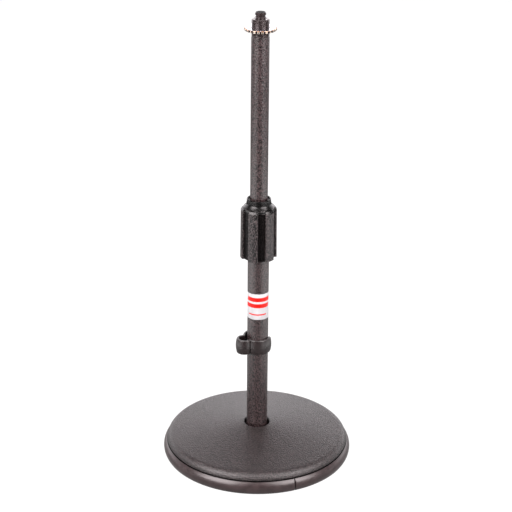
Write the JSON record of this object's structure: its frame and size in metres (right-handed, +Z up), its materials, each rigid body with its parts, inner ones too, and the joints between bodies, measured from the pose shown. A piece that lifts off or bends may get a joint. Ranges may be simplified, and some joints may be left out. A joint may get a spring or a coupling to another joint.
{
  "type": "desktop microphone stand",
  "caption": "Desktop microphone stand: domed round base, telescoping tube with a ribbed twist clutch, cable clip, threaded top stud and scalloped lock ring.",
  "frame": {"origin": "on the tube's axis, in the plane that the four foot pads stand on", "axes": "+Z up along the tube, towards the microphone thread; -Y is the front, with the clip's hook to the left (-X)"},
  "size_m": [0.1758, 0.1758, 0.4263],
  "materials": {
    "base_powder_coat": "fine-textured dark warm-grey powder coat on cast iron",
    "bumper_rubber": "satin black extruded rubber",
    "foot_rubber": "milky translucent soft rubber",
    "zinc_steel": "bright zinc plate",
    "tube_powder_coat": "fine-textured dark grey powder coat on steel tube",
    "label_vinyl": "glossy white vinyl with plain red stripes",
    "clutch_alloy": "machined",
    "nylon": "black nylon",
    "grip_plastic": "moulded black plastic, grained ribs and smooth neck",
    "nut_brass": "turned brass",
    "black_steel": "black oxide on turned steel",
    "ring_metal": "pale plated brass, bright and slightly worn",
    "clip_plastic": "satin black moulded plastic"
  },
  "bodies": {
    "stand": {"base_casting": "base_powder_coat", "edge_bumper": "bumper_rubber", "foot_pad_1": "foot_rubber", "foot_pad_2": "foot_rubber", "foot_pad_3": "foot_rubber", "foot_pad_4": "foot_rubber", "base_flat_washer": "zinc_steel", "base_spring_washer": "zinc_steel", "base_bolt": "zinc_steel", "foot_insert": "zinc_steel", "lower_tube": "tube_powder_coat", "label": "label_vinyl", "clutch_sleeve": "clutch_alloy"},
    "collet": {"clutch_collet": "nylon", "clutch_thrust_ring": "nylon"},
    "grip": {"clutch_grip": "grip_plastic", "clutch_grip_nut": "nut_brass"},
    "guide": {"guide_bush": "nylon"},
    "mast": {"upper_tube": "tube_powder_coat", "guide_plug": "zinc_steel", "guide_retainer": "zinc_steel", "stud": "black_steel", "thread_adapter": "black_steel"},
    "lock_ring": {"lock_ring": "ring_metal"},
    "cable_clip": {"cable_clip": "clip_plastic"}
  },
  "joints": [
    {"name": "collet_lift", "type": "slide", "parent": "stand", "child": "collet", "axis": [0, 0, 1], "range_m": [0, 0.0025]},
    {"name": "grip_turn", "type": "hinge", "parent": "collet", "child": "grip", "pos_m": [0, 0, 0.228], "axis": [0, 0, 1], "range_deg": [0, 450]},
    {"name": "tube_height", "type": "slide", "parent": "stand", "child": "guide", "axis": [0, 0, 1], "range_m": [-0.145, 0.012]},
    {"name": "tube_swivel", "type": "hinge", "parent": "guide", "child": "mast", "pos_m": [0, 0, 0.3], "axis": [0, 0, 1], "continuous": true},
    {"name": "lock_ring_height", "type": "slide", "parent": "mast", "child": "lock_ring", "axis": [0, 0, 1], "range_m": [-0.004, 0.0065]},
    {"name": "clip_height", "type": "slide", "parent": "stand", "child": "cable_clip", "axis": [0, 0, 1], "range_m": [-0.0745, 0.079]}
  ],
  "couplings": [
    {"joint": "grip_turn", "follows": "collet_lift", "rad_per_m": 3141.6}
  ]
}
